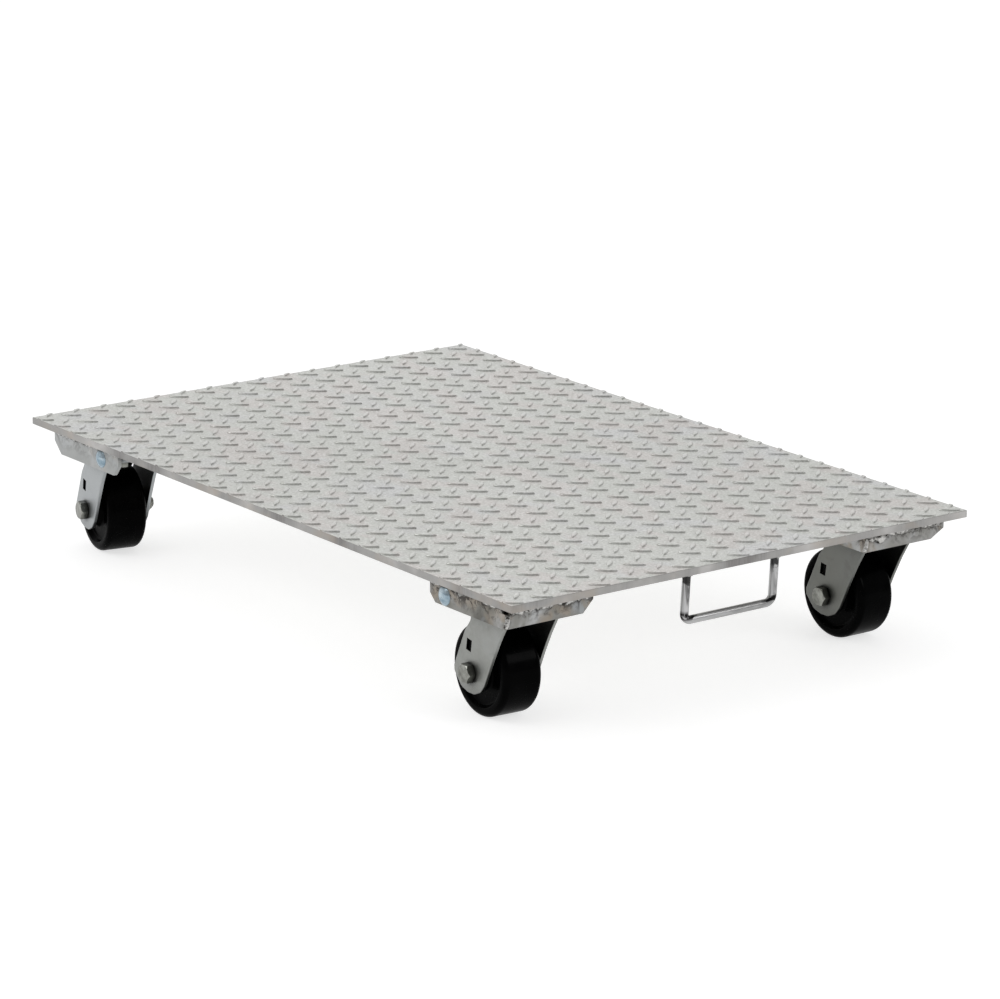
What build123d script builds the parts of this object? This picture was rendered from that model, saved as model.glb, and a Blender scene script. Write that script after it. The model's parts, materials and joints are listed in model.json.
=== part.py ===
from build123d import *
import math
import os

# Furniture dolly: a treadplate deck on four swivel casters.
# Frame: origin on the floor under the middle of the deck, +X towards the end
# with the pull loop, +Y to the left when looking along +X, +Z up. Millimetres.

# ------------------------------------------------------------ driving sizes
deck_length = 914.4            # 36 in, along X
deck_width = 609.6             # 24 in, along Y
deck_base = 7.9                # 5/16 in plate
tread_height = 1.5             # raised lugs on top of the base
deck_base_top = 151.0          # height of the plate's base surface
deck_under = deck_base_top - deck_base
deck_top = deck_base_top + tread_height

wheel_radius = 49.2            # 4 in class wheel
wheel_width = 47.0
wheel_edge_radius = 6.5
hub_half_width = 26.0
hub_radius = 18.5
trail = 33.0                   # axle behind the swivel axis

swivel_x_front = 385.5
swivel_x_rear = -360.2
swivel_y_right = -244.9
swivel_y_left = 230.3
yaw_front_right = -3.0         # rest angles of the swivels, degrees
yaw_front_left = 0.0
yaw_rear_right = -11.0
yaw_rear_left = 6.0

fork_half_width = 33.5         # outer faces of the legs
fork_sheet = 4.0
crown_top = 126.4
crown_ridge_top = 128.4

plate_side = 101.6             # 4 in square top plate
plate_thickness = 6.35
plate_top = deck_under - 0.05
plate_bottom = plate_top - plate_thickness

race_radius = 22.0             # upper ball circle
upper_ball_radius = 3.175
upper_ball_z = 129.4
upper_ball_count = 20
lower_race_radius = 13.0
lower_ball_radius = 2.38
lower_ball_z = 118.9
lower_ball_count = 15

kingpin_radius = 6.0
kingpin_end = 104.0
axle_radius = 6.3
bushing_radius = 9.5
roller_radius = 1.62
roller_circle = 11.2
roller_count = 14
wheel_bore = 12.85

bar_thickness = 4.8            # 3/16 in bracket bars
bar_bottom_front = 121.2
bar_bottom_rear = 118.2
bracket_half = 56.0            # half the outer width of a bracket
front_bar_in = 313.2
front_bar_out = 441.5
rear_bar_in = -281.0
rear_bar_out = -416.0

cross_bolt_radius = 4.75       # 3/8 in carriage bolt
cross_bolt_z = plate_bottom - cross_bolt_radius - 0.1
cross_bolt_x_front = 338.2
cross_bolt_x_rear = -317.4

loop_rod = 4.5                 # radius of the pull loop's rod
loop_x_top = 447.2
loop_x_low = 443.6
loop_y_low = -72.3
loop_y_high = 45.7
loop_z = 90.9

CORNERS = {
    "front_right": (swivel_x_front, swivel_y_right, yaw_front_right),
    "front_left": (swivel_x_front, swivel_y_left, yaw_front_left),
    "rear_right": (swivel_x_rear, swivel_y_right, yaw_rear_right),
    "rear_left": (swivel_x_rear, swivel_y_left, yaw_rear_left),
}

os.makedirs("parts", exist_ok=True)


# ------------------------------------------------------------ small helpers
def span(x0, x1, y0, y1, z0, z1):
    b = Box(x1 - x0, y1 - y0, z1 - z0)
    return Pos((x0 + x1) / 2, (y0 + y1) / 2, (z0 + z1) / 2) * b


def upright(radius, z0, z1):
    return Pos(0, 0, (z0 + z1) / 2) * Cylinder(radius, z1 - z0)


def along_y(radius, y0, y1, x=0.0, z=0.0):
    c = Rot(90, 0, 0) * Cylinder(radius, y1 - y0)
    return Pos(x, (y0 + y1) / 2, z) * c


def hex_along_z(flats, z0, z1, size=0.9, top=True, bottom=True):
    body = Pos(0, 0, z0) * extrude(RegularPolygon(flats / math.sqrt(3), 6), z1 - z0)
    rim = upright(flats / math.sqrt(3) + 0.02, z0, z1)
    edges = []
    if top:
        edges += [e for e in rim.edges() if e.center().Z > z1 - 0.01 and e.geom_type == GeomType.CIRCLE]
    if bottom:
        edges += [e for e in rim.edges() if e.center().Z < z0 + 0.01 and e.geom_type == GeomType.CIRCLE]
    rim = chamfer(edges, size)
    return body & rim


def solids_of(shape):
    return list(shape.solids())


def write(name, shapes):
    parts = []
    for s in shapes if isinstance(shapes, (list, tuple)) else [shapes]:
        parts += solids_of(s)
    item = parts[0] if len(parts) == 1 else Compound(children=parts)
    item.label = name
    export_step(item, "parts/" + name + ".step")


# ------------------------------------------------------------ deck
deck = span(-deck_length / 2, deck_length / 2, -deck_width / 2, deck_width / 2, deck_under, deck_top)
write("deck_plate", deck)


# ------------------------------------------------------------ caster brackets
def side_bar(x_in, x_out, y0, y1, low, rise, chamfer_out):
    """A flat bar on edge, its lower corners cut back at the ends."""
    high = deck_under
    lo, hi = min(x_in, x_out), max(x_in, x_out)
    sign = 1 if x_out > x_in else -1
    pts = [(x_in, high), (x_in, low + rise), (x_in + sign * 9.5, low)]
    if chamfer_out:
        pts += [(x_out - sign * 14.0, low), (x_out, low + 14.0), (x_out, high)]
    else:
        pts += [(x_out, low), (x_out, high)]
    face = make_face(Polyline(*[(x, 0, z) for x, z in pts], close=True))
    bar = extrude(face, amount=(y1 - y0), dir=(0, 1, 0))
    return Pos(0, y0, 0) * bar


def bolt_hole(x, y0, y1, square):
    if square:
        return span(x - 4.9, x + 4.9, y0 - 1, y1 + 1, cross_bolt_z - 4.9, cross_bolt_z + 4.9)
    return along_y(5.0, y0 - 1, y1 + 1, x, cross_bolt_z)


def bracket(name):
    sx, sy, _ = CORNERS[name]
    front = name.startswith("front")
    y0, y1 = sy - bracket_half, sy + bracket_half
    t = bar_thickness
    if front:
        x_in, x_out, bx = front_bar_in, front_bar_out, cross_bolt_x_front
        low = bar_bottom_front
        near = side_bar(x_in, x_out, y0, y0 + t, low, 9.0, False)
        far = side_bar(x_in, x_out - t, y1 - t, y1, low, 9.0, False)
        cut = (13.0, 13.5) if sy < 0 else (18.0, 10.0)
        pts = [(y0 + t, deck_under), (y0 + t, low), (y1 - cut[0], low),
               (y1, low + cut[1]), (y1, deck_under)]
        face = make_face(Polyline(*[(0, y, z) for y, z in pts], close=True))
        end = Pos(x_out - t, 0, 0) * extrude(face, amount=t, dir=(1, 0, 0))
        lip = span(x_out - t - 10.0, x_out - t, y0 + t, y1 - t, plate_bottom - 4.9, plate_bottom - 0.1)
        far = far - Pos(x_out - t, y1, low) * Rot(0, 45, 0) * Box(14.0, 30.0, 14.0)
    else:
        x_in, x_out, bx = rear_bar_in, rear_bar_out, cross_bolt_x_rear
        low = bar_bottom_rear
        near = side_bar(x_in, x_out, y0, y0 + t, low, 12.0, True)
        far = side_bar(x_in, x_out, y1 - t, y1, low, 12.0, True)
        end = span(x_out, x_out + t, y0 + t, y1 - t, low + 14.2, deck_under)
        lip = span(x_out + t, x_out + t + 9.0, y0 + t, y1 - t, plate_bottom - 4.9, plate_bottom - 0.1)
    near_square = sy < 0
    near = near - bolt_hole(bx, y0, y0 + t, near_square)
    far = far - bolt_hole(bx, y1 - t, y1, not near_square)
    return near + far + end + lip


for corner in CORNERS:
    write("bracket_" + corner, bracket(corner))


# ------------------------------------------------------------ cross bolts
def cross_bolt_set(name):
    """Carriage bolt under the top plate: domed head outside, lock nut inside."""
    sx, sy, _ = CORNERS[name]
    bx = cross_bolt_x_front if name.startswith("front") else cross_bolt_x_rear
    half = bracket_half
    dome_r, dome_h = 10.4, 3.9
    big = (dome_r ** 2 + dome_h ** 2) / (2 * dome_h)
    dome = (Pos(0, 0, big - dome_h) * Sphere(big)) & Pos(0, 0, -dome_h / 2) * Cylinder(dome_r, dome_h)
    head = dome
    neck = Pos(0, 0, 2.3) * Box(9.5, 9.5, 4.6)
    shank = Pos(0, 0, (2 * half + 16.0) / 2) * Cylinder(cross_bolt_radius - 0.05, 2 * half + 16.0)
    bolt = head + neck + shank
    washer = Pos(0, 0, 2 * half + 0.85) * (Cylinder(11.0, 1.6) - Cylinder(5.0, 3))
    nut = hex_along_z(14.3, 2 * half + 1.7, 2 * half + 10.4, 0.8)
    nut = nut + Pos(0, 0, 2 * half + 11.3) * Cylinder(6.3, 2.4)
    nut = nut - Pos(0, 0, 2 * half + 6) * Cylinder(cross_bolt_radius, 30)
    if sy < 0:
        place = Pos(bx, sy - half, cross_bolt_z) * Rot(-90, 0, 0)
    else:
        place = Pos(bx, sy + half, cross_bolt_z) * Rot(90, 0, 0)
    return place * bolt, place * washer, place * nut


sets = [cross_bolt_set(c) for c in CORNERS]
write("cross_bolts", [s[0] for s in sets])
write("cross_bolt_washers", [s[1] for s in sets])
write("cross_bolt_nuts", [s[2] for s in sets])


# ------------------------------------------------------------ caster pieces (local: swivel axis at x = y = 0)
def groove(circle, minor, z):
    return Pos(0, 0, z) * Torus(circle, minor)


def make_top_plate():
    plate = Pos(0, 0, (plate_top + plate_bottom) / 2) * Box(plate_side, plate_side, plate_thickness)
    plate = fillet(plate.edges().filter_by(Axis.Z), 9.0)
    ring = upright(28.5, upper_ball_z + 1.2, plate_bottom + 0.5)
    rim = [e for e in ring.edges() if e.geom_type == GeomType.CIRCLE and e.center().Z < upper_ball_z + 1.3]
    ring = fillet(rim, 1.6)
    ring = ring - upright(16.5, upper_ball_z, plate_bottom)
    plate = plate + ring
    plate = plate - groove(race_radius, upper_ball_radius + 0.18, upper_ball_z)
    plate = plate - upright(kingpin_radius + 0.05, plate_bottom - 1, plate_top + 1)
    sink = Pos(0, 0, plate_top - 2.0) * Cone(kingpin_radius + 0.05, kingpin_radius + 4.2, 4.2)
    plate = plate - sink
    for sx in (-1, 1):
        for sy in (-1, 1):
            plate = plate - Pos(sx * 38.1, sy * 38.1, plate_top - 3) * Cylinder(4.8, 12)
    return plate


def make_kingpin():
    pin = upright(kingpin_radius, kingpin_end, plate_top - 0.1)
    tip = [e for e in pin.edges() if e.geom_type == GeomType.CIRCLE and e.center().Z < kingpin_end + 0.1]
    pin = chamfer(tip, 1.0)
    head = Pos(0, 0, plate_top - 2.1) * Cone(kingpin_radius, kingpin_radius + 4.0, 4.0)
    return pin + head


def make_kingpin_nut():
    nut = hex_along_z(19.0, 106.2, 113.15, 0.9)
    return nut - upright(kingpin_radius + 0.02, 100, 120)


def make_lower_race():
    cup = upright(18.5, 113.2, 117.6)
    rim = [e for e in cup.edges() if e.geom_type == GeomType.CIRCLE and e.center().Z < 113.3]
    cup = fillet(rim, 2.2)
    cup = cup - groove(lower_race_radius, lower_ball_radius + 0.14, lower_ball_z)
    return cup - upright(kingpin_radius + 0.03, 100, 130)


LEG = [(-33, 128), (-33, 106), (-44, 92), (-63.6, 50), (-63.2, 43.6), (-50, 30.0), (-38, 26.6),
       (-26, 26.8), (-14.6, 32.0), (-8.4, 40.0), (5.2, 69.5), (17.2, 93), (30.5, 115), (30.5, 128)]
LEG_RADII = [0, 12, 18, 3, 3, 10, 12, 12, 10, 4, 30, 22, 9, 0]


def rounded_outline(pts, radii):
    """Closed outline in the XZ plane with each corner rounded."""
    n = len(pts)
    edges = []
    ends = []
    for i in range(n):
        p = Vector(pts[i][0], 0, pts[i][1])
        a = Vector(pts[i - 1][0], 0, pts[i - 1][1]) - p
        b = Vector(pts[(i + 1) % n][0], 0, pts[(i + 1) % n][1]) - p
        r = radii[i]
        if r <= 0:
            ends.append((p, None, p))
            continue
        half = math.radians(a.get_angle(b)) / 2
        d = min(r / math.tan(half), 0.49 * a.length, 0.49 * b.length)
        r = d * math.tan(half)
        s, e = p + a.normalized() * d, p + b.normalized() * d
        mid = (a.normalized() + b.normalized()).normalized()
        m = p + mid * (r / math.sin(half) - r)
        ends.append((s, m, e))
    for i in range(n):
        s, m, e = ends[i]
        if m is not None:
            edges.append(ThreePointArc(s, m, e))
        nxt = ends[(i + 1) % n][0]
        if (nxt - e).length > 1e-6:
            edges.append(Line(e, nxt))
    return make_face(Wire(edges))


def make_fork():
    """Pressed steel fork: a flat crown with two legs swept back to the axle."""
    w, t = fork_half_width, fork_sheet
    outer = span(-90, 90, -w, w, 0, crown_top)
    tops = [e for e in outer.edges().filter_by(Axis.X) if e.center().Z > crown_top - 1]
    outer = fillet(tops, 6.5)
    inner = span(-95, 95, -(w - t), w - t, -5, crown_top - t)
    tops = [e for e in inner.edges().filter_by(Axis.X) if e.center().Z > 0]
    inner = fillet(tops, 3.0)
    channel = outer - inner
    side = rounded_outline(LEG, LEG_RADII)
    block = extrude(side, amount=50, dir=(0, 1, 0), both=True)
    fork = channel & block
    # window in each leg, leaning with the leg
    window = Pos(-35.8, 0, 77.9) * Rot(0, 8, 0) * Box(9.0, 100, 12.8)
    fork = fork - window
    fork = fork - along_y(axle_radius + 0.08, -60, 60, -trail, wheel_radius)
    best = fork
    for r in (0.9, 0.6, 0.4):
        try:
            picks = []
            for e in fork.edges():
                c = e.center()
                if abs(abs(c.Y) - w) < 0.01 and e.length > 2.0:
                    q = e @ 0.5
                    if abs(abs(q.Y) - w) < 0.01 and not (abs(c.X + 35.6) < 9 and abs(c.Z - 77.9) < 9) \
                            and not (math.hypot(c.X + trail, c.Z - wheel_radius) < 9):
                        s, f = e @ 0, e @ 1
                        if abs(abs(s.Y) - w) < 0.01 and abs(abs(f.Y) - w) < 0.01 and c.Z < 117:
                            picks.append(e)
            rounded = fillet(picks, r)
            if rounded.is_valid:
                best = rounded
                print("fork edge radius", r)
                break
        except Exception as err:
            print("fork edge", r, type(err).__name__)
    fork = best
    ridge = upright(27.5, crown_top - 1.0, crown_ridge_top)
    rim = [e for e in ridge.edges() if e.geom_type == GeomType.CIRCLE and e.center().Z > crown_ridge_top - 0.1]
    ridge = fillet(rim, 1.2)
    ridge = ridge - upright(17.0, 110, 140)
    fork = fork + ridge
    boss = upright(18.5, 120.0, crown_top - t + 1.0)
    fork = fork + boss
    fork = fork - groove(race_radius, upper_ball_radius + 0.18, upper_ball_z)
    fork = fork - groove(lower_race_radius, lower_ball_radius + 0.14, lower_ball_z)
    fork = fork - upright(kingpin_radius + 0.07, 100, 140)
    return fork


def make_balls(count, circle, radius, z):
    out = []
    for i in range(count):
        a = 2 * math.pi * i / count
        out.append(Pos(circle * math.cos(a), circle * math.sin(a), z) * Sphere(radius))
    return out


def make_axle_bolt():
    w = fork_half_width
    head = hex_along_z(19.05, -9.0, 0.0, 1.5, top=False)
    shank = Pos(0, 0, (2 * w + 14.5) / 2) * Cylinder(axle_radius, 2 * w + 14.5)
    tip = [e for e in shank.edges() if e.geom_type == GeomType.CIRCLE and e.center().Z > 2 * w + 14]
    shank = chamfer(tip, 1.0)
    return Pos(-trail, -w, wheel_radius) * Rot(-90, 0, 0) * (head + shank)


def make_axle_nut():
    w = fork_half_width
    nut = hex_along_z(19.05, 0.0, 9.0, 1.0) + Pos(0, 0, 10.2) * Cylinder(8.2, 2.6)
    nut = nut - Cylinder(axle_radius + 0.03, 60)
    return Pos(-trail, w, wheel_radius) * Rot(-90, 0, 0) * nut


def make_bushing():
    inside = fork_half_width - fork_sheet - 0.05
    tube = along_y(bushing_radius, -inside, inside) - along_y(axle_radius + 0.05, -40, 40)
    return Pos(-trail, 0, wheel_radius) * tube


def make_thrust_washers():
    inside = fork_half_width - fork_sheet - 0.1
    out = []
    for s in (-1, 1):
        a, b = sorted((s * (hub_half_width + 0.25), s * inside))
        ring = along_y(16.0, a, b) - along_y(bushing_radius + 0.05, -40, 40)
        out.append(Pos(-trail, 0, wheel_radius) * ring)
    return out


def make_rollers():
    out = []
    for i in range(roller_count):
        a = 2 * math.pi * i / roller_count
        out.append(along_y(roller_radius, -21.0, 21.0, roller_circle * math.cos(a), roller_circle * math.sin(a)))
    for s in (-1, 1):
        a, b = sorted((s * 21.05, s * 23.0))
        out.append(along_y(12.7, a, b) - along_y(9.8, -40, 40))
    return [Pos(-trail, 0, wheel_radius) * o for o in out]


def make_wheel():
    """Solid moulded wheel: rounded tread edges, shallow dished faces, raised hub."""
    hw, R, r = wheel_width / 2, wheel_radius, wheel_edge_radius
    k = r * (1 - math.sqrt(0.5))
    b = wheel_bore
    e = []
    # half profile in (radius, y), swept about the axle line
    def L(a, c):
        e.append(Line((a[0], a[1], 0), (c[0], c[1], 0)))

    def A(a, m, c):
        e.append(ThreePointArc((a[0], a[1], 0), (m[0], m[1], 0), (c[0], c[1], 0)))

    H, hr = hub_half_width, hub_radius
    L((b, -H), (b, H))
    L((b, H), (hr - 1.5, H))
    A((hr - 1.5, H), (hr - 0.44, H - 0.44), (hr, H - 1.5))
    L((hr, H - 1.5), (hr + 1.4, 20.2))
    A((hr + 1.4, 20.2), (hr + 2.6, 18.7), (hr + 4.4, 18.1))
    L((hr + 4.4, 18.1), (34.0, 18.1))
    A((34.0, 18.1), (36.0, 18.7), (37.2, 20.2))
    L((37.2, 20.2), (38.6, hw - 1.0))
    A((38.6, hw - 1.0), (39.2, hw - 0.28), (40.2, hw))
    L((40.2, hw), (R - r, hw))
    A((R - r, hw), (R - k, hw - k), (R, hw - r))
    L((R, hw - r), (R, -(hw - r)))
    A((R, -(hw - r)), (R - k, -(hw - k)), (R - r, -hw))
    L((R - r, -hw), (40.2, -hw))
    A((40.2, -hw), (39.2, -(hw - 0.28)), (38.6, -(hw - 1.0)))
    L((38.6, -(hw - 1.0)), (37.2, -20.2))
    A((37.2, -20.2), (36.0, -18.7), (34.0, -18.1))
    L((34.0, -18.1), (hr + 4.4, -18.1))
    A((hr + 4.4, -18.1), (hr + 2.6, -18.7), (hr + 1.4, -20.2))
    L((hr + 1.4, -20.2), (hr, -(H - 1.5)))
    A((hr, -(H - 1.5)), (hr - 0.44, -(H - 0.44)), (hr - 1.5, -H))
    L((hr - 1.5, -H), (b, -H))
    face = make_face(Wire(e))
    wheel = revolve(face, axis=Axis.Y, revolution_arc=360)
    return Pos(-trail, 0, wheel_radius) * wheel


top_plate = make_top_plate()
kingpin = make_kingpin()
kingpin_nut = make_kingpin_nut()
lower_race = make_lower_race()
fork = make_fork()
upper_balls = make_balls(upper_ball_count, race_radius, upper_ball_radius, upper_ball_z)
lower_balls = make_balls(lower_ball_count, lower_race_radius, lower_ball_radius, lower_ball_z)
axle_bolt = make_axle_bolt()
axle_nut = make_axle_nut()
bushing = make_bushing()
washers = make_thrust_washers()
rollers = make_rollers()
wheel = make_wheel()

for corner, (sx, sy, yaw) in CORNERS.items():
    fixed = Pos(sx, sy, 0)
    turned = Pos(sx, sy, 0) * Rot(0, 0, yaw)
    write("top_plate_" + corner, fixed * top_plate)
    write("lower_race_" + corner, fixed * lower_race)
    write("fork_" + corner, turned * fork)
    write("upper_balls_" + corner, [turned * s for s in upper_balls])
    write("lower_balls_" + corner, [turned * s for s in lower_balls])
    write("axle_bolt_" + corner, turned * axle_bolt)
    write("axle_nut_" + corner, turned * axle_nut)
    write("spanner_bushing_" + corner, turned * bushing)
    write("thrust_washers_" + corner, [turned * s for s in washers])
    write("roller_bearing_" + corner, [turned * s for s in rollers])
    write("wheel_" + corner, turned * wheel)

write("kingpins", [Pos(sx, sy, 0) * kingpin for sx, sy, _ in CORNERS.values()])
write("kingpin_nuts", [Pos(sx, sy, 0) * kingpin_nut for sx, sy, _ in CORNERS.values()])


# ------------------------------------------------------------ pull loop
def make_pull_loop():
    over = 4.0
    slope = (loop_x_top - loop_x_low) / (deck_under - loop_z)
    xt = loop_x_top + slope * over
    path = FilletPolyline((xt, loop_y_low, deck_under + over), (loop_x_low, loop_y_low, loop_z),
                          (loop_x_low, loop_y_high, loop_z), (xt, loop_y_high, deck_under + over), radius=8.5)
    start = Plane(origin=path @ 0, z_dir=path % 0)
    rod = sweep(start * Circle(loop_rod), path=path)
    return rod - span(400, 500, -200, 200, deck_under, deck_under + 30)


write("pull_loop", make_pull_loop())
print("nodes", len(os.listdir("parts")))
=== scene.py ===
import json
import math
import random

import bmesh
import bpy
import numpy as np
from mathutils import Matrix, Vector, noise
from mathutils.geometry import delaunay_2d_cdt


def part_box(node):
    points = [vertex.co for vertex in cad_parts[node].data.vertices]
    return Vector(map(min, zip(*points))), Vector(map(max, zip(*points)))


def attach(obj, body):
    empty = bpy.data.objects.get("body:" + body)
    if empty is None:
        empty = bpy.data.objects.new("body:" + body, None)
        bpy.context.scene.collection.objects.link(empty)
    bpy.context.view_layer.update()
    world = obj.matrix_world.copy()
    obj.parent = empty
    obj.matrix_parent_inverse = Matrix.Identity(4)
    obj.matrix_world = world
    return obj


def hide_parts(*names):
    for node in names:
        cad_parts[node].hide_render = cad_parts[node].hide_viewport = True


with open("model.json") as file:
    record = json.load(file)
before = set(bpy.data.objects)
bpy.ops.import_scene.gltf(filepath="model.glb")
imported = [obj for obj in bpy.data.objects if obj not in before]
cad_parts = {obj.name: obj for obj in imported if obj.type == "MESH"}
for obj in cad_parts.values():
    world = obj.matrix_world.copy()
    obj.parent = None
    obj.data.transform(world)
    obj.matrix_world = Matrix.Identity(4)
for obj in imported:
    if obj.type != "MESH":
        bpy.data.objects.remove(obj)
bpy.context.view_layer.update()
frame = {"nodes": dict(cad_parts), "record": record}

MM = 0.001
sc = bpy.context.scene

# ------------------------------------------------------------------ camera
cam_data = bpy.data.cameras.new("camera")
cam = bpy.data.objects.new("camera", cam_data)
sc.collection.objects.link(cam)
cam_data.sensor_fit = "HORIZONTAL"
cam_data.sensor_width = 36.0
cam_data.lens = 169.985
cam_data.clip_start = 0.1
cam_data.clip_end = 80.0
_v = Vector((1.68941214, 0.85267363, -0.63828322))
_R = Matrix.Rotation(_v.length, 3, _v.normalized())
_W = _R.transposed() @ Matrix(((1, 0, 0), (0, -1, 0), (0, 0, -1)))
cam.matrix_world = Matrix.Translation((4.05245, -3.01237, 1.36829 + 0.151)) @ _W.to_4x4()
sc.camera = cam
sc.view_settings.view_transform = "Standard"
sc.view_settings.look = "None"


# ------------------------------------------------------------------ node helpers
def new_mat(name):
    m = bpy.data.materials.new(name)
    m.use_nodes = True
    nt = m.node_tree
    nt.nodes.clear()
    out = nt.nodes.new("ShaderNodeOutputMaterial")
    bsdf = nt.nodes.new("ShaderNodeBsdfPrincipled")
    nt.links.new(bsdf.outputs[0], out.inputs[0])
    return m, nt, bsdf


def coord(nt):
    return nt.nodes.new("ShaderNodeTexCoord").outputs["Object"]


def mapped(nt, scale=(1, 1, 1), rot=(0, 0, 0), src=None):
    n = nt.nodes.new("ShaderNodeMapping")
    n.inputs["Scale"].default_value = scale
    n.inputs["Rotation"].default_value = rot
    nt.links.new(src or coord(nt), n.inputs["Vector"])
    return n.outputs[0]


def tex_noise(nt, vec, scale, detail=3.0, rough=0.55, distort=0.0):
    n = nt.nodes.new("ShaderNodeTexNoise")
    n.inputs["Scale"].default_value = scale
    n.inputs["Detail"].default_value = detail
    n.inputs["Roughness"].default_value = rough
    n.inputs["Distortion"].default_value = distort
    nt.links.new(vec, n.inputs["Vector"])
    return n.outputs["Fac"]


def ramp(nt, fac, stops, mode="LINEAR"):
    n = nt.nodes.new("ShaderNodeValToRGB")
    n.color_ramp.interpolation = mode
    el = n.color_ramp.elements
    while len(el) < len(stops):
        el.new(0.5)
    for e, (p, c) in zip(el, stops):
        e.position = p
        e.color = (c[0], c[1], c[2], 1) if not isinstance(c, (int, float)) else (c, c, c, 1)
    nt.links.new(fac, n.inputs[0])
    return n.outputs[0]


def mix(nt, fac, a, b, mode="MIX"):
    n = nt.nodes.new("ShaderNodeMix")
    n.data_type = "RGBA"
    n.blend_type = mode
    for sock, val in ((n.inputs[0], fac), (n.inputs[6], a), (n.inputs[7], b)):
        if hasattr(val, "node"):
            nt.links.new(val, sock)
        elif isinstance(val, (int, float)) and sock == n.inputs[0]:
            sock.default_value = val
        else:
            sock.default_value = (val[0], val[1], val[2], 1) if not isinstance(val, (int, float)) else (val, val, val, 1)
    return n.outputs[2]


def math_node(nt, op, a, b=None, clamp=False):
    n = nt.nodes.new("ShaderNodeMath")
    n.operation = op
    n.use_clamp = clamp
    for i, val in enumerate((a, b)):
        if val is None:
            continue
        if hasattr(val, "node"):
            nt.links.new(val, n.inputs[i])
        else:
            n.inputs[i].default_value = val
    return n.outputs[0]


def map_range(nt, v, a, b, c, d):
    n = nt.nodes.new("ShaderNodeMapRange")
    n.inputs[1].default_value, n.inputs[2].default_value = a, b
    n.inputs[3].default_value, n.inputs[4].default_value = c, d
    nt.links.new(v, n.inputs[0])
    return n.outputs[0]


def bump(nt, height, strength, distance, normal=None):
    n = nt.nodes.new("ShaderNodeBump")
    n.inputs["Strength"].default_value = strength
    n.inputs["Distance"].default_value = distance
    nt.links.new(height, n.inputs["Height"])
    if normal:
        nt.links.new(normal, n.inputs["Normal"])
    return n.outputs[0]


def soft_normal(nt, radius):
    n = nt.nodes.new("ShaderNodeBevel")
    n.samples = 4
    n.inputs["Radius"].default_value = radius
    return n.outputs["Normal"]


def hook(nt, bsdf, color=None, rough=None, normal=None):
    if color is not None:
        nt.links.new(color, bsdf.inputs["Base Color"])
    if rough is not None:
        nt.links.new(rough, bsdf.inputs["Roughness"])
    if normal is not None:
        nt.links.new(normal, bsdf.inputs["Normal"])


def axis_of(nt, k):
    n = nt.nodes.new("ShaderNodeSeparateXYZ")
    nt.links.new(coord(nt), n.inputs[0])
    return n.outputs[k]


def sep_z(nt):
    n = nt.nodes.new("ShaderNodeSeparateXYZ")
    nt.links.new(coord(nt), n.inputs[0])
    return n.outputs[2]


def occlusion_painted_shade(nt, dist, lo, hi, low, high):
    """Painted shade: a mask that rises where pieces crowd together, from ambient occlusion."""
    n = nt.nodes.new("ShaderNodeAmbientOcclusion")
    n.samples = 8
    n.inputs["Distance"].default_value = dist
    return map_range(nt, n.outputs["AO"], lo, hi, low, high)


# ------------------------------------------------------------------ materials
def mat_deck_top():
    m, nt, b = new_mat("deck_mill_aluminium")
    b.inputs["Metallic"].default_value = 1.0
    b.inputs["Anisotropic"].default_value = 0.25
    patches = tex_noise(nt, mapped(nt), 11.0, 3.0, 0.55, 0.4)
    tone = ramp(nt, patches, [(0.34, (0.545, 0.546, 0.535)), (0.45, (0.572, 0.582, 0.548)),
                              (0.55, (0.590, 0.596, 0.568)), (0.66, (0.620, 0.624, 0.624))])
    warm = tex_noise(nt, mapped(nt, (1, 1.6, 1)), 17.0, 2.0, 0.5)
    tone = mix(nt, map_range(nt, warm, 0.50, 0.60, 0.0, 0.8), tone, (0.590, 0.556, 0.535))
    streak = tex_noise(nt, mapped(nt, (6, 220, 60)), 3.0, 4.0, 0.6)
    tone = mix(nt, map_range(nt, streak, 0.35, 0.75, 0.0, 0.16), tone, (0.44, 0.44, 0.43))
    # painted shade darkens the lugs' flanks low down, and a painted highlight brightens their crests, partly rubbed
    # wear
    z = sep_z(nt)
    low = math_node(nt, "MULTIPLY", map_range(nt, z, 0.15108, 0.1513, 0.0, 1.0),
                    map_range(nt, z, 0.1516, 0.15225, 1.0, 0.0))
    mott = tex_noise(nt, mapped(nt, (1, 1, 1), (0.2, 0.1, 0.7)), 330.0, 2.0, 0.65)
    tone = mix(nt, map_range(nt, mott, 0.50, 0.66, 0.0, 0.55), tone, (0.40, 0.40, 0.37))
    tone = mix(nt, map_range(nt, mott, 0.46, 0.34, 0.0, 0.45), tone, (0.80, 0.80, 0.78))
    # painted shade: the low band on the lug flanks is mixed towards dark
    tone = mix(nt, math_node(nt, "MULTIPLY", low, 0.24), tone, (0.13, 0.125, 0.115))
    # painted highlight on the lug crests, partly rubbed wear
    crest = map_range(nt, z, 0.1522, 0.1525, 0.0, 0.35)
    tone = mix(nt, crest, tone, (0.78, 0.78, 0.77))
    speck = tex_noise(nt, mapped(nt), 420.0, 2.0, 0.6)
    tone = mix(nt, map_range(nt, speck, 0.62, 0.80, 0.0, 0.35), tone, (0.36, 0.355, 0.34))
    rough = math_node(nt, "ADD", map_range(nt, patches, 0.3, 0.7, 0.30, 0.40),
                      map_range(nt, speck, 0.3, 0.8, -0.03, 0.06))
    fine = tex_noise(nt, mapped(nt, (30, 900, 100)), 1.0, 3.0, 0.6)
    grit = tex_noise(nt, mapped(nt), 900.0, 2.0, 0.6)
    n1 = bump(nt, fine, 0.12, 0.0002)
    n2 = bump(nt, grit, 0.10, 0.0002, n1)
    hook(nt, b, tone, rough, n2)
    return m


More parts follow.
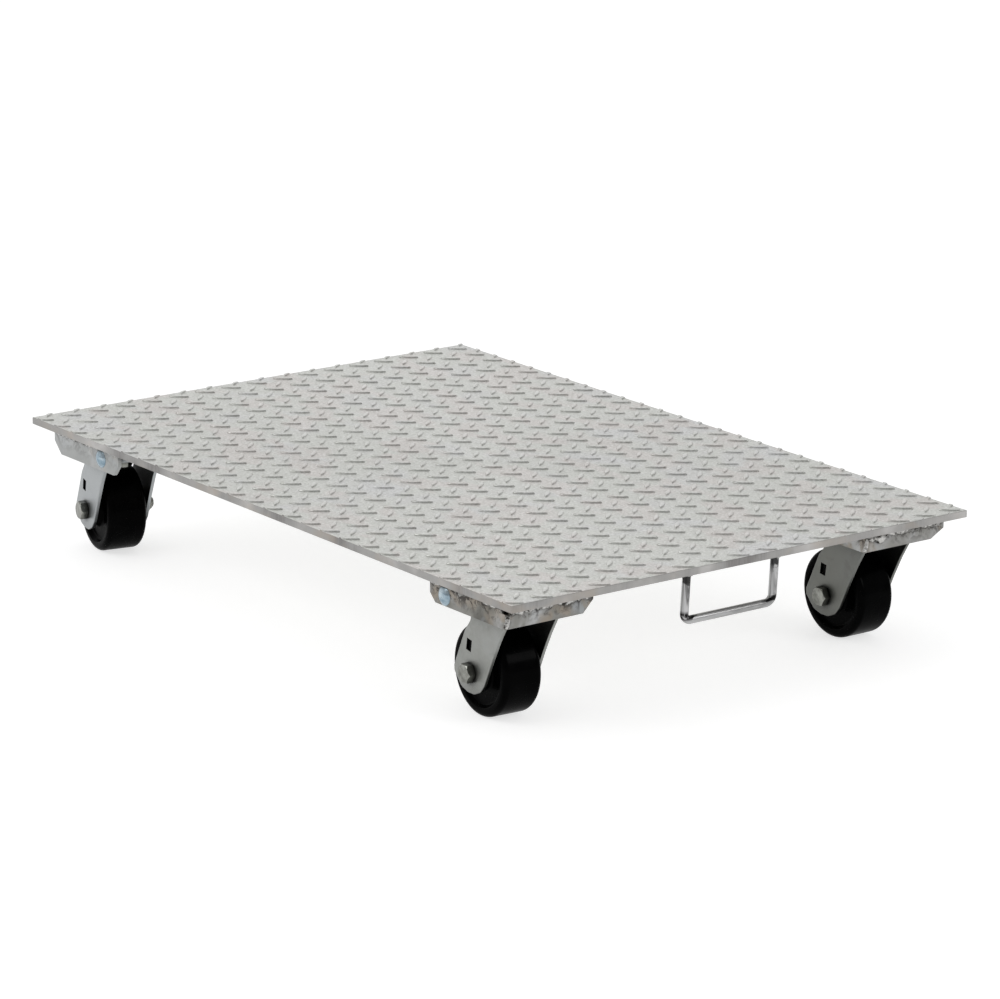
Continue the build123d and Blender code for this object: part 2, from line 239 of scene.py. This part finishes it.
def mat_deck_edge():
    m, nt, b = new_mat("deck_sawn_edge")
    b.inputs["Metallic"].default_value = 1.0
    saw = tex_noise(nt, mapped(nt, (420, 420, 25)), 1.0, 3.0, 0.6)
    broad = tex_noise(nt, mapped(nt, (1, 1, 1)), 14.0, 3.0, 0.5)
    tone = ramp(nt, broad, [(0.36, (0.20, 0.192, 0.188)), (0.47, (0.29, 0.286, 0.28)), (0.56, (0.335, 0.328, 0.318)), (0.66, (0.45, 0.44, 0.43))])
    tone = mix(nt, map_range(nt, saw, 0.4, 0.7, 0.0, 0.30), tone, (0.46, 0.455, 0.45))
    tan = tex_noise(nt, mapped(nt), 23.0, 2.0, 0.5)
    tone = mix(nt, map_range(nt, tan, 0.52, 0.68, 0.0, 0.45), tone, (0.39, 0.335, 0.28))
    rough = map_range(nt, saw, 0.3, 0.7, 0.34, 0.5)
    hook(nt, b, tone, rough, bump(nt, saw, 0.25, 0.0003))
    return m


def mat_bracket():
    m, nt, b = new_mat("bracket_bar_aluminium")
    b.inputs["Metallic"].default_value = 1.0
    broad = tex_noise(nt, mapped(nt), 22.0, 3.0, 0.55, 0.6)
    tone = ramp(nt, broad, [(0.36, (0.115, 0.112, 0.102)), (0.46, (0.205, 0.202, 0.185)), (0.55, (0.27, 0.268, 0.258)), (0.66, (0.40, 0.405, 0.405))])
    tint = tex_noise(nt, mapped(nt), 30.0, 2.0, 0.5, 0.8)
    tone = mix(nt, map_range(nt, tint, 0.56, 0.68, 0.0, 0.60), tone, (0.27, 0.225, 0.175))
    rose = tex_noise(nt, mapped(nt, (1, 1.3, 1), (0.5, 0.2, 1.0)), 33.0, 2.0, 0.5, 0.5)
    tone = mix(nt, map_range(nt, rose, 0.60, 0.70, 0.0, 0.45), tone, (0.30, 0.325, 0.345))
    # painted light: the bars are mixed lighter towards -X, at the rear brackets
    tone = mix(nt, map_range(nt, axis_of(nt, 0), -0.1, 0.1, 0.55, 0.0), tone, (0.44, 0.455, 0.46))
    soot = tex_noise(nt, mapped(nt), 85.0, 4.0, 0.65, 1.0)
    near_weld = map_range(nt, sep_z(nt), 0.124, 0.1370, 0.12, 1.0)
    tone = mix(nt, math_node(nt, "MULTIPLY", math_node(nt, "MULTIPLY", near_weld, map_range(nt, soot, 0.49, 0.585, 0.0, 1.0)), map_range(nt, axis_of(nt, 0), -0.1, 0.1, 0.30, 0.92)), tone, (0.035, 0.031, 0.028))
    # painted shade: the bars go near black where pieces crowd together
    tone = mix(nt, occlusion_painted_shade(nt, 0.02, 0.35, 0.9, 0.8, 0.0), tone, (0.02, 0.019, 0.018))
    grain = tex_noise(nt, mapped(nt, (60, 60, 700)), 1.0, 3.0, 0.6)
    rough = map_range(nt, broad, 0.3, 0.7, 0.28, 0.42)
    hook(nt, b, tone, rough, bump(nt, grain, 0.25, 0.0003))
    return m


def mat_weld():
    m, nt, b = new_mat("weld_bead")
    b.inputs["Metallic"].default_value = 1.0
    soot = tex_noise(nt, mapped(nt), 160.0, 3.0, 0.6, 0.5)
    tone = ramp(nt, soot, [(0.40, (0.045, 0.042, 0.038)), (0.47, (0.27, 0.265, 0.255)), (0.58, (0.50, 0.495, 0.48))])
    rough = map_range(nt, soot, 0.3, 0.7, 0.5, 0.24)
    fine = tex_noise(nt, mapped(nt), 700.0, 3.0, 0.6)
    hook(nt, b, tone, rough, bump(nt, fine, 0.35, 0.0006))
    return m


def mat_fork():
    m, nt, b = new_mat("fork_zinc_plate")
    b.inputs["Metallic"].default_value = 1.0
    broad = tex_noise(nt, mapped(nt), 18.0, 3.0, 0.55, 0.3)
    tone = ramp(nt, broad, [(0.34, (0.235, 0.242, 0.228)), (0.5, (0.272, 0.277, 0.262)), (0.66, (0.312, 0.320, 0.312))])
    grain = tex_noise(nt, mapped(nt, (90, 200, 90)), 2.0, 4.0, 0.65)
    tone = mix(nt, map_range(nt, grain, 0.42, 0.7, 0.0, 0.30), tone, (0.36, 0.365, 0.355))
    stain = tex_noise(nt, mapped(nt), 60.0, 2.0, 0.6, 0.6)
    tone = mix(nt, map_range(nt, stain, 0.60, 0.74, 0.0, 0.35), tone, (0.17, 0.17, 0.155))
    # painted shade: the forks on the +Y side are mixed darker, partly a darker plating lot
    plating_lot_and_painted_shade = map_range(nt, axis_of(nt, 1), -0.05, 0.05, 0.0, 0.62)
    tone = mix(nt, plating_lot_and_painted_shade, tone, (0.085, 0.086, 0.075))
    # painted light: the forks on the -X side are mixed lighter, partly older plate
    older_plate_and_painted_light = map_range(nt, axis_of(nt, 0), -0.05, 0.05, 0.55, 0.0)
    tone = mix(nt, older_plate_and_painted_light, tone, (0.42, 0.445, 0.47))
    # painted shade: the fork goes near black where it is occluded, as inside the legs beside the wheel
    tone = mix(nt, occlusion_painted_shade(nt, 0.06, 0.45, 0.80, 0.97, 0.0), tone, (0.004, 0.004, 0.004))
    rough = math_node(nt, "ADD", map_range(nt, broad, 0.3, 0.7, 0.34, 0.46), map_range(nt, grain, 0.3, 0.7, -0.03, 0.05))
    hook(nt, b, tone, rough, bump(nt, grain, 0.14, 0.0003, soft_normal(nt, 0.0007)))
    return m


def mat_fastener(name, a, c, rough_lo, rough_hi, scale=90.0):
    m, nt, b = new_mat(name)
    b.inputs["Metallic"].default_value = 1.0
    n = tex_noise(nt, mapped(nt), scale, 3.0, 0.6, 0.3)
    tone = mix(nt, map_range(nt, n, 0.35, 0.65, 0.0, 1.0), a, c)
    fine = tex_noise(nt, mapped(nt), 600.0, 2.0, 0.6)
    # painted shade: the fastener goes near black where it crowds against other parts
    tone = mix(nt, occlusion_painted_shade(nt, 0.012, 0.45, 0.95, 0.92, 0.0), tone, (0.008, 0.008, 0.007))
    hook(nt, b, tone, map_range(nt, n, 0.3, 0.7, rough_lo, rough_hi), bump(nt, fine, 0.12, 0.0002, soft_normal(nt, 0.0005)))
    return m


def mat_rod():
    m, nt, b = new_mat("loop_bright_rod")
    b.inputs["Metallic"].default_value = 1.0
    drawn_marks_and_painted_reflection = tex_noise(nt, mapped(nt, (420, 9, 9)), 1.0, 3.0, 0.6, 0.3)
    # painted reflection: these dark lengthwise streaks stand in for dark surroundings mirrored in the rod; the same
    # noise gives drawing marks in roughness and bump
    tone = ramp(nt, drawn_marks_and_painted_reflection, [(0.36, (0.13, 0.13, 0.13)), (0.44, (0.26, 0.26, 0.26)), (0.52, (0.38, 0.38, 0.38)), (0.64, (0.52, 0.52, 0.525))])
    blot = tex_noise(nt, mapped(nt, (1, 0.7, 1)), 62.0, 3.0, 0.6, 0.7)
    side = math_node(nt, "ABSOLUTE", math_node(nt, "ADD", axis_of(nt, 1), 0.0133), 0.0)
    bends = math_node(nt, "MULTIPLY", map_range(nt, side, 0.036, 0.044, 0.0, 1.0), map_range(nt, axis_of(nt, 2), 0.0905, 0.0935, 0.0, 1.0))
    low = math_node(nt, "MULTIPLY", bends, map_range(nt, axis_of(nt, 2), 0.099, 0.103, 1.0, 0.0))
    high = map_range(nt, axis_of(nt, 2), 0.122, 0.134, 0.0, 0.9)
    where = math_node(nt, "MAXIMUM", low, high)
    tone = mix(nt, math_node(nt, "MULTIPLY", where, map_range(nt, blot, 0.44, 0.50, 0.0, 1.0)), tone, (0.010, 0.010, 0.010))
    hook(nt, b, tone, map_range(nt, drawn_marks_and_painted_reflection, 0.3, 0.7, 0.26, 0.36), bump(nt, drawn_marks_and_painted_reflection, 0.2, 0.0003))
    return m


def mat_wheel():
    m, nt, b = new_mat("wheel_black_phenolic")
    b.inputs["Specular IOR Level"].default_value = 0.012
    b.inputs["Coat Weight"].default_value = 0.008
    b.inputs["Coat Roughness"].default_value = 0.06
    n = tex_noise(nt, mapped(nt), 45.0, 3.0, 0.6)
    tone = mix(nt, map_range(nt, n, 0.35, 0.7, 0.0, 1.0), (0.0004, 0.0004, 0.00045), (0.0012, 0.0012, 0.0013))
    dust = tex_noise(nt, mapped(nt), 260.0, 3.0, 0.6, 0.4)
    tone = mix(nt, map_range(nt, dust, 0.64, 0.82, 0.0, 0.25), tone, (0.009, 0.0088, 0.0085))
    fine = tex_noise(nt, mapped(nt), 380.0, 2.0, 0.55)
    hook(nt, b, tone, map_range(nt, n, 0.3, 0.7, 0.18, 0.32), bump(nt, fine, 0.10, 0.0003))
    return m


M_TOP, M_EDGE, M_BRACKET, M_WELD = mat_deck_top(), mat_deck_edge(), mat_bracket(), mat_weld()
M_FORK, M_ROD, M_WHEEL = mat_fork(), mat_rod(), mat_wheel()
M_ZINC = mat_fastener("fastener_zinc", (0.14, 0.142, 0.128), (0.30, 0.305, 0.28), 0.14, 0.26)
M_BLUE = mat_fastener("fastener_blue_zinc", (0.19, 0.27, 0.33), (0.42, 0.50, 0.55), 0.08, 0.18)
M_STEEL = mat_fastener("bearing_steel", (0.30, 0.30, 0.30), (0.42, 0.42, 0.42), 0.18, 0.30)

BY_SLOT = {"deck_aluminium": M_TOP, "bracket_aluminium": M_BRACKET, "bright_zinc_rod": M_ROD, "fork_zinc": M_FORK,
           "zinc_fastener": M_ZINC, "blue_zinc_fastener": M_BLUE, "bearing_steel": M_STEEL, "black_phenolic": M_WHEEL}
SLOT_OF = {s["node"]: s["material_slot"] for s in frame["record"]["subparts"]}
for name, obj in frame["nodes"].items():
    mat = BY_SLOT[SLOT_OF[name]]
    if not obj.material_slots:
        obj.data.materials.append(mat)
    for slot in obj.material_slots:
        slot.material = mat


# ------------------------------------------------------------------ mesh helpers
def link(name, mesh, mats, body, smooth=True, replaces=()):
    o = bpy.data.objects.new(name, mesh)
    sc.collection.objects.link(o)
    for m in mats:
        mesh.materials.append(m)
    if smooth:
        for p in mesh.polygons:
            p.use_smooth = True
    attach(o, body)
    if replaces:
        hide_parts(*replaces)
    return o


# ------------------------------------------------------------------ deck with its raised lugs
def build_deck():
    lo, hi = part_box("deck_plate")
    x0, y0, x1, y1 = lo[0] / MM, lo[1] / MM, hi[0] / MM, hi[1] / MM
    under, crest = lo[2] / MM, hi[2] / MM
    H = 1.5
    base = crest - H
    pitch = 36.11
    # the rolled pattern is a little longer across the plate than along it, and turned 0.2 degree
    K = np.array([[1 / 35.526, 0.0001], [-0.0001, 1 / 36.700]])
    Kinv = np.linalg.inv(K)
    psi = K @ np.array([-441.72, 287.0])
    c = pitch / math.sqrt(2)
    h = c / 2
    Lh, Wh = 12.0, 3.3
    N = 22
    th = [2 * math.pi * i / N for i in range(N)]

    def outline(ks, kt):
        return [(Lh * ks * math.cos(a), Wh * kt * math.sin(a) * abs(math.sin(a)) ** 0.75) for a in th]

    side = [-h, -h / 2, 0.0, h / 2]
    border = [(s, -h) for s in side] + [(h, s) for s in side] + [(-s, h) for s in side] + [(-h, -s) for s in side]
    ring0 = outline(1.035, 1.16)
    nb = len(border)
    verts2 = [Vector(p) for p in border + ring0]
    edges = [(i, (i + 1) % nb) for i in range(nb)] + [(nb + i, nb + (i + 1) % N) for i in range(N)]
    v2, _, faces2, _, _, _ = delaunay_2d_cdt(verts2, edges, [], 1, 1e-6)
    assert len(v2) == len(verts2)

    def inside(px, py, poly):
        r = False
        j = len(poly) - 1
        for i in range(len(poly)):
            xi, yi = poly[i]
            xj, yj = poly[j]
            if (yi > py) != (yj > py) and px < (xj - xi) * (py - yi) / (yj - yi) + xi:
                r = not r
            j = i
        return r

    order = {}
    cell_v = [(p[0], p[1], 0.0) for p in border + ring0]
    for k, p in enumerate(v2):
        best = min(range(len(cell_v)), key=lambda i: (cell_v[i][0] - p[0]) ** 2 + (cell_v[i][1] - p[1]) ** 2)
        order[k] = best
    cell_f = []
    for f in faces2:
        cx = sum(v2[i][0] for i in f) / len(f)
        cy = sum(v2[i][1] for i in f) / len(f)
        if not inside(cx, cy, ring0):
            cell_f.append([order[i] for i in f])
    rings = [list(range(nb, nb + N))]
    for ks, kt, z in ((1.0, 1.0, 0.0), (0.975, 0.92, 0.46), (0.94, 0.76, 0.76), (0.87, 0.42, 0.96)):
        start = len(cell_v)
        for (s, t) in outline(ks, kt):
            cell_v.append((s, t, z * H))
        rings.append(list(range(start, start + N)))
    for a, b in zip(rings, rings[1:]):
        for i in range(N):
            j = (i + 1) % N
            cell_f.append([a[i], a[j], b[j], b[i]])
    last = rings[-1]
    crest_id = {}
    for i in range(1, N // 2):
        s = cell_v[last[i]][0]
        crest_id[i] = len(cell_v)
        cell_v.append((s, 0.0, H))
    for i in range(N // 2):
        up_a, up_b = i, i + 1
        lo_a, lo_b = (N - i) % N, N - i - 1
        ca, cb = crest_id.get(up_a), crest_id.get(up_b)
        if ca is None:
            cell_f.append([last[0], last[up_b], cb])
            cell_f.append([last[0], cb, last[lo_b]])
        elif cb is None:
            cell_f.append([last[up_a], last[up_b], ca])
            cell_f.append([last[up_b], last[lo_a], ca])
        else:
            cell_f.append([last[up_a], last[up_b], cb, ca])
            cell_f.append([ca, cb, last[lo_b], last[lo_a]])
    cell_v = np.array(cell_v)
    q = math.sqrt(0.5)
    allv, allf, off = [], [], 0
    rng = random.Random(4)
    n = 62
    for a in range(-n, n):
        for b in range(-n, n):
            ox = (a - b) * c * q
            oy = (a + b) * c * q
            rx, ry = Kinv @ (np.array([ox, oy]) / pitch + psi)
            if rx < x0 - c or rx > x1 + c or ry < y0 - c or ry > y1 + c:
                continue
            s, t, z = cell_v[:, 0], cell_v[:, 1], cell_v[:, 2].copy()
            z[nb:] *= 1.0 - rng.random() * 0.10
            if (a + b) % 2 == 0:
                u, v = s, t
            else:
                u, v = -t, s
            X = ox + (u - v) * q
            Y = oy + (u + v) * q
            XY = Kinv @ (np.stack([X, Y]) / pitch + psi[:, None])
            allv.append(np.stack([XY[0], XY[1], z + base], 1))
            allf += [[i + off for i in f] for f in cell_f]
            off += len(cell_v)
    V = np.concatenate(allv)
    key = np.round(V, 3)
    _, idx, inv = np.unique(key, axis=0, return_index=True, return_inverse=True)
    inv = inv.reshape(-1)
    V = V[idx]
    faces = []
    for f in allf:
        g = [int(inv[i]) for i in f]
        g = [g[i] for i in range(len(g)) if g[i] != g[i - 1]]
        if len(set(g)) >= 3:
            faces.append(g)
    me = bpy.data.meshes.new("deck_treadplate")
    me.from_pydata((V * MM).tolist(), [], faces)
    bm = bmesh.new()
    bm.from_mesh(me)
    inset = 0.35
    for co, no in (((x0 + inset, 0, 0), (-1, 0, 0)), ((x1 - inset, 0, 0), (1, 0, 0)),
                   ((0, y0 + inset, 0), (0, -1, 0)), ((0, y1 - inset, 0), (0, 1, 0))):
        geom = bm.verts[:] + bm.edges[:] + bm.faces[:]
        bmesh.ops.bisect_plane(bm, geom=geom, dist=1e-7, plane_co=Vector(co) * MM, plane_no=no, clear_outer=True)
    bmesh.ops.recalc_face_normals(bm, faces=bm.faces[:])
    if sum(f.normal.z for f in bm.faces) < 0:
        bmesh.ops.reverse_faces(bm, faces=bm.faces[:])

    def grow(edges, move):
        ret = bmesh.ops.extrude_edge_only(bm, edges=edges)
        new_v = [g for g in ret["geom"] if isinstance(g, bmesh.types.BMVert)]
        for p in new_v:
            move(p)
        return [g for g in ret["geom"] if isinstance(g, bmesh.types.BMEdge) and g.is_boundary], \
               [g for g in ret["geom"] if isinstance(g, bmesh.types.BMFace)]

    eps = 0.02

    def outward(p):
        x, y = p.co.x / MM, p.co.y / MM
        if x < x0 + inset + eps: x = x0
        if x > x1 - inset - eps: x = x1
        if y < y0 + inset + eps: y = y0
        if y > y1 - inset - eps: y = y1
        p.co.x, p.co.y = x * MM, y * MM
        p.co.z -= 0.4 * MM

    def to_z(zz):
        def f(p):
            p.co.z = zz * MM
        return f

    def inward(p):
        x, y = p.co.x / MM, p.co.y / MM
        if x < x0 + eps: x = x0 + inset
        if x > x1 - eps: x = x1 - inset
        if y < y0 + eps: y = y0 + inset
        if y > y1 - eps: y = y1 - inset
        p.co.x, p.co.y, p.co.z = x * MM, y * MM, under * MM

    edge_faces = []
    rim = [e for e in bm.edges if e.is_boundary]
    rim, f = grow(rim, outward)
    edge_faces += f
    rim, f = grow(rim, to_z(under + inset))
    edge_faces += f
    rim, f = grow(rim, inward)
    edge_faces += f
    ret = bmesh.ops.contextual_create(bm, geom=rim)
    bottom = ret["faces"]
    bmesh.ops.recalc_face_normals(bm, faces=bm.faces[:])
    for f in bm.faces:
        f.smooth = True
    for f in edge_faces:
        f.material_index = 1
        f.smooth = False
    for f in bottom:
        f.smooth = False
    bm.to_mesh(me)
    bm.free()
    return link("deck_treadplate", me, [M_TOP, M_EDGE], "root", smooth=False, replaces=("deck_plate",))


deck = build_deck()


# ------------------------------------------------------------------ brackets, as separate bars with rounded arrises
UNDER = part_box("deck_plate")[0][2] / MM


def prism(bm, pts, axis, a, b, bevel=0.55):
    """A bar whose outline pts runs in XZ (axis y) or YZ (axis x), from a to b along the axis. Millimetres."""
    part = bmesh.new()
    def at(p, t):
        return (p[0], t, p[1]) if axis == "y" else (t, p[0], p[1])
    lower = [part.verts.new([c * MM for c in at(p, a)]) for p in pts]
    upper = [part.verts.new([c * MM for c in at(p, b)]) for p in pts]
    n = len(pts)
    part.faces.new(lower)
    part.faces.new(upper[::-1])
    for i in range(n):
        part.faces.new([lower[i], upper[i], upper[(i + 1) % n], lower[(i + 1) % n]])
    bmesh.ops.recalc_face_normals(part, faces=part.faces[:])
    bmesh.ops.bevel(part, geom=part.edges[:], offset=bevel * MM, segments=2, profile=0.6, affect="EDGES")
    tmp = bpy.data.meshes.new("tmp")
    part.to_mesh(tmp)
    part.free()
    bm.from_mesh(tmp)
    bpy.data.meshes.remove(tmp)


def build_bracket(corner):
    lo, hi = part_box("bracket_" + corner)
    x0, y0, z0 = (c / MM for c in lo)
    x1, y1, z1 = (c / MM for c in hi)
    top = z1 - 0.9
    t = 4.8
    front = corner.startswith("front")
    bm = bmesh.new()
    lip0, lip1 = UNDER - 0.05 - 6.35 - 4.9, UNDER - 0.05 - 6.35 - 0.1
    if front:
        near = [(x0, top), (x0, z0 + 9.0), (x0 + 9.5, z0), (x1, z0), (x1, top - 5.0), (x1 - 5.5, top - 4.0), (x1 - 6.5, top)]
        prism(bm, near, "y", y0, y0 + t)
        far = [(x0, top), (x0, z0 + 9.0), (x0 + 9.5, z0), (x1 - t - 9.5, z0), (x1 - t - 0.2, z0 + 9.5), (x1 - t - 0.2, top)]
        prism(bm, far, "y", y1 - t, y1)
        cut = (13.0, 13.5) if "right" in corner else (18.0, 10.0)
        end = [(y0 + t, top - 1.5), (y0 + t, z0), (y1 - cut[0], z0), (y1, z0 + cut[1]), (y1, top)]
        prism(bm, end, "x", x1 - t, x1)
        prism(bm, [(y0 + t, lip0), (y0 + t, lip1), (y1 - t, lip1), (y1 - t, lip0)], "x", x1 - t - 10.0, x1 - t)
    else:
        side = [(x1, top), (x1, z0 + 12.0), (x1 - 9.5, z0), (x0 + 14.0, z0), (x0, z0 + 14.0), (x0, top)]
        prism(bm, side, "y", y0, y0 + t)
        prism(bm, side, "y", y1 - t, y1)
        prism(bm, [(y0 + t, z0 + 14.2), (y0 + t, top), (y1 - t, top), (y1 - t, z0 + 14.2)], "x", x0, x0 + t)
        prism(bm, [(y0 + t, lip0), (y0 + t, lip1), (y1 - t, lip1), (y1 - t, lip0)], "x", x0 + t, x0 + t + 9.0)
    me = bpy.data.meshes.new("bracket_bars_" + corner)
    bm.to_mesh(me)
    bm.free()
    o = link("bracket_bars_" + corner, me, [M_BRACKET], "root", smooth=False, replaces=("bracket_" + corner,))
    return (x0, y0, z0, x1, y1, z1)


def bead(bm, a, b, r, seed, lump=0.28, pitch=2.6, top=None, flat=(1, 1, 1)):
    """A fillet weld from a to b: overlapping ripples, uneven in width and line."""
    a, b = Vector(a), Vector(b)
    d = b - a
    length = d.length
    d.normalize()
    up = Vector((0, 0, 1)) if abs(d.z) < 0.9 else Vector((1, 0, 0))
    s = d.cross(up).normalized()
    u = s.cross(d).normalized()
    steps = max(6, int(length / 0.75))
    ring = 12
    rows = []
    for i in range(steps + 1):
        f = i / steps
        x = f * length
        end = min(1.0, math.sqrt(max(0.0, 1 - (1 - min(x, length - x) / r) ** 2)) if min(x, length - x) < r else 1.0)
        rr = r * (1 - 0.16 + 0.16 * abs(math.sin(math.pi * x / pitch)))
        rr *= 1 + lump * (noise.noise(Vector((x * 0.16, seed * 7.3, 0.5))) * 1.6)
        off = noise.noise(Vector((x * 0.12, seed * 3.1, 9.5))) * r * 0.45
        c = a + d * x + s * off + u * off * 0.4
        row = []
        for k in range(ring):
            t = 2 * math.pi * k / ring
            q = rr * max(end, 0.05) * (1 + 0.10 * noise.noise(Vector((x * 0.5, k * 1.7, seed))))
            p = c + (s * math.cos(t) + u * math.sin(t)) * q
            if top is not None:
                p.z = min(p.z, top)
            row.append(bm.verts.new(p * MM))
        rows.append(row)
    for i in range(steps):
        for k in range(ring):
            j = (k + 1) % ring
            bm.faces.new([rows[i][k], rows[i][j], rows[i + 1][j], rows[i + 1][k]])
    bm.faces.new(rows[0][::-1])
    bm.faces.new(rows[-1])


def ring_bead(bm, cx, cy, z, radius, r, seed):
    ring, n = 10, 40
    rows = []
    for i in range(n):
        a = 2 * math.pi * i / n
        rr = r * (0.86 + 0.14 * abs(math.sin(a * 5))) * (1 + 0.4 * noise.noise(Vector((math.cos(a) * 1.6, math.sin(a) * 1.6, seed))))
        row = []
        for k in range(ring):
            t = 2 * math.pi * k / ring
            R0 = radius + rr * math.cos(t)
            row.append(bm.verts.new(Vector((cx + R0 * math.cos(a), cy + R0 * math.sin(a), min(z + rr * math.sin(t), UNDER + 0.2))) * MM))
        rows.append(row)
    for i in range(n):
        for k in range(ring):
            j = (k + 1) % ring
            bm.faces.new([rows[i][k], rows[(i + 1) % n][k], rows[(i + 1) % n][j], rows[i][j]])


def finish_beads(name, bm):
    bmesh.ops.recalc_face_normals(bm, faces=bm.faces[:])
    me = bpy.data.meshes.new(name)
    bm.to_mesh(me)
    bm.free()
    link(name, me, [M_WELD], "root")


def build_welds(corner, box, seed):
    x0, y0, z0, x1, y1, z1 = box
    bm = bmesh.new()
    zt = UNDER + 0.3
    zc = UNDER - 0.9
    def run(a, b, r, k, lump=0.28):
        bead(bm, a, b, r, seed * 13 + k, lump=lump, top=zt)
    if corner.startswith("front"):
        xo = x1 + 0.5
        if corner == "front_right":
            run((xo, y0 + 6, zc - 4.6), (xo, y0 + 36, zc - 3.8), 3.6, 1, 0.5)
            run((xo, y0 + 38, zc - 3.6), (xo, y0 + 60, zc - 3.0), 3.2, 2, 0.5)
            run((xo, y0 + 65, zc - 3.0), (xo, y0 + 104, zc - 2.8), 3.0, 3, 0.6)
            run((x0 + 3, y0 - 0.2, zc), (x0 + 17, y0 - 0.2, zc), 1.5, 4)
            run((x1 - 38, y0 - 0.2, zc), (x1 - 8, y0 - 0.2, zc), 1.7, 5)
        else:
            run((xo, y0 + 3, zc - 5.4), (xo, y0 + 27, zc - 5.0), 4.8, 1, 0.6)
            run((xo, y0 + 24, zc - 4.6), (xo, y0 + 62, zc - 3.6), 4.3, 2, 0.6)
            run((xo, y0 + 70, zc - 3.4), (xo, y0 + 108, zc - 3.0), 3.2, 3, 0.6)
            run((x0 + 4, y1 + 0.2, zc), (x0 + 40, y1 + 0.2, zc), 1.9, 4)
            run((x0 + 62, y1 + 0.2, zc), (x1 - 8, y1 + 0.2, zc), 1.9, 5)
            run((x1 - 40, y0 - 0.2, zc), (x1 - 12, y0 - 0.2, zc), 1.5, 6)
        # upright bead down the corner of the side bar and the end bar
        run((x1 - 0.2, y0 + 0.4, z0 + 0.8), (x1 + 0.6, y0 + 3.6, z0 + 16.0), 2.5, 7, 0.12)
        run((x0 + 5, y1 - 4.6, zc), (x0 + 36, y1 - 4.6, zc), 1.6, 9)
        run((x0 + 70, y0 + 5.0, zc), (x0 + 110, y0 + 5.0, zc), 1.6, 10)
    else:
        yo = y0 - 0.2 if "right" in corner else y1 + 0.2
        run((x0 + 6, yo, zc), (x0 + 38, yo, zc), 1.6, 1)
        run((x0 + 43, yo, zc), (x0 + 78, yo, zc), 1.6, 2)
        run((x0 + 84, yo, zc), (x0 + 94, yo, zc), 1.4, 3)
        run((x0 + 114, yo, zc), (x1 - 4, yo, zc), 1.4, 4)
        yi = y1 + 0.2 if "right" in corner else y0 - 0.2
        run((x0 + 10, yi, zc), (x0 + 50, yi, zc), 1.9, 5)
        run((x0 + 80, yi, zc), (x1 - 12, yi, zc), 1.9, 6)
        run((x0 - 0.4, y0 + 8, zc - 0.3), (x0 - 0.4, y0 + 48, zc - 0.3), 2.6, 7, 0.45)
        run((x0 - 0.4, y0 + 60, zc - 0.3), (x0 - 0.4, y1 - 8, zc - 0.3), 2.6, 8, 0.45)
    finish_beads("weld_beads_" + corner, bm)


for i, corner in enumerate(("front_right", "front_left", "rear_right", "rear_left")):
    build_welds(corner, build_bracket(corner), i + 1)

_lo, _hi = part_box("pull_loop")
bm = bmesh.new()
for k, yy in enumerate((_lo[1] / MM + 4.5, _hi[1] / MM - 4.5)):
    ring_bead(bm, _hi[0] / MM - 4.55, yy, UNDER - 0.4, 5.2, 2.0, 3.3 + k)
finish_beads("weld_beads_loop", bm)

# ------------------------------------------------------------------ stage and light
def build_stage():
    bm = bmesh.new()
    s = 40.0
    vs = [bm.verts.new((x * s, y * s, -0.0002)) for x, y in ((-1, -1), (1, -1), (1, 1), (-1, 1))]
    bm.faces.new(vs)
    me = bpy.data.meshes.new("floor")
    bm.to_mesh(me)
    bm.free()
    o = bpy.data.objects.new("floor", me)
    sc.collection.objects.link(o)
    m, nt, b = new_mat("floor_paper")
    b.inputs["Base Color"].default_value = (0.55, 0.55, 0.55, 1)
    b.inputs["Roughness"].default_value = 0.9
    b.inputs["Specular IOR Level"].default_value = 0.0
    b.inputs["Emission Color"].default_value = (1, 1, 1, 1)
    b.inputs["Emission Strength"].default_value = 0.68
    me.materials.append(m)


build_stage()

world = bpy.data.worlds.new("studio")
sc.world = world
world.use_nodes = True
nt = world.node_tree
bg = nt.nodes["Background"]
tc = nt.nodes.new("ShaderNodeTexCoord")
dot = nt.nodes.new("ShaderNodeVectorMath")
dot.operation = "DOT_PRODUCT"
nt.links.new(tc.outputs["Generated"], dot.inputs[0])
dot.inputs[1].default_value = (-0.98, 0.05, 0.0)
sky = ramp(nt, map_range(nt, dot.outputs["Value"], -1.0, 1.0, 0.0, 1.0),
           [(0.0, 0.42), (0.35, 0.50), (0.55, 0.62), (0.80, 0.95), (1.0, 1.02)])
nt.links.new(sky, bg.inputs[0])
bg.inputs[1].default_value = 1.0


def area(name, loc, target, size, power, size_y=None):
    l = bpy.data.lights.new(name, "AREA")
    l.shape = "RECTANGLE"
    l.size = size
    l.size_y = size_y or size
    l.energy = power
    o = bpy.data.objects.new(name, l)
    sc.collection.objects.link(o)
    d = Vector(target) - Vector(loc)
    o.location = loc
    o.rotation_euler = d.to_track_quat("-Z", "Y").to_euler()
    return o


area("key_soft", (-0.6, -3.2, 2.6), (0, 0, 0.1), 2.2, 22, 1.4)
area("side_soft", (3.4, 1.6, 2.0), (0, 0, 0.1), 1.6, 24, 1.2)
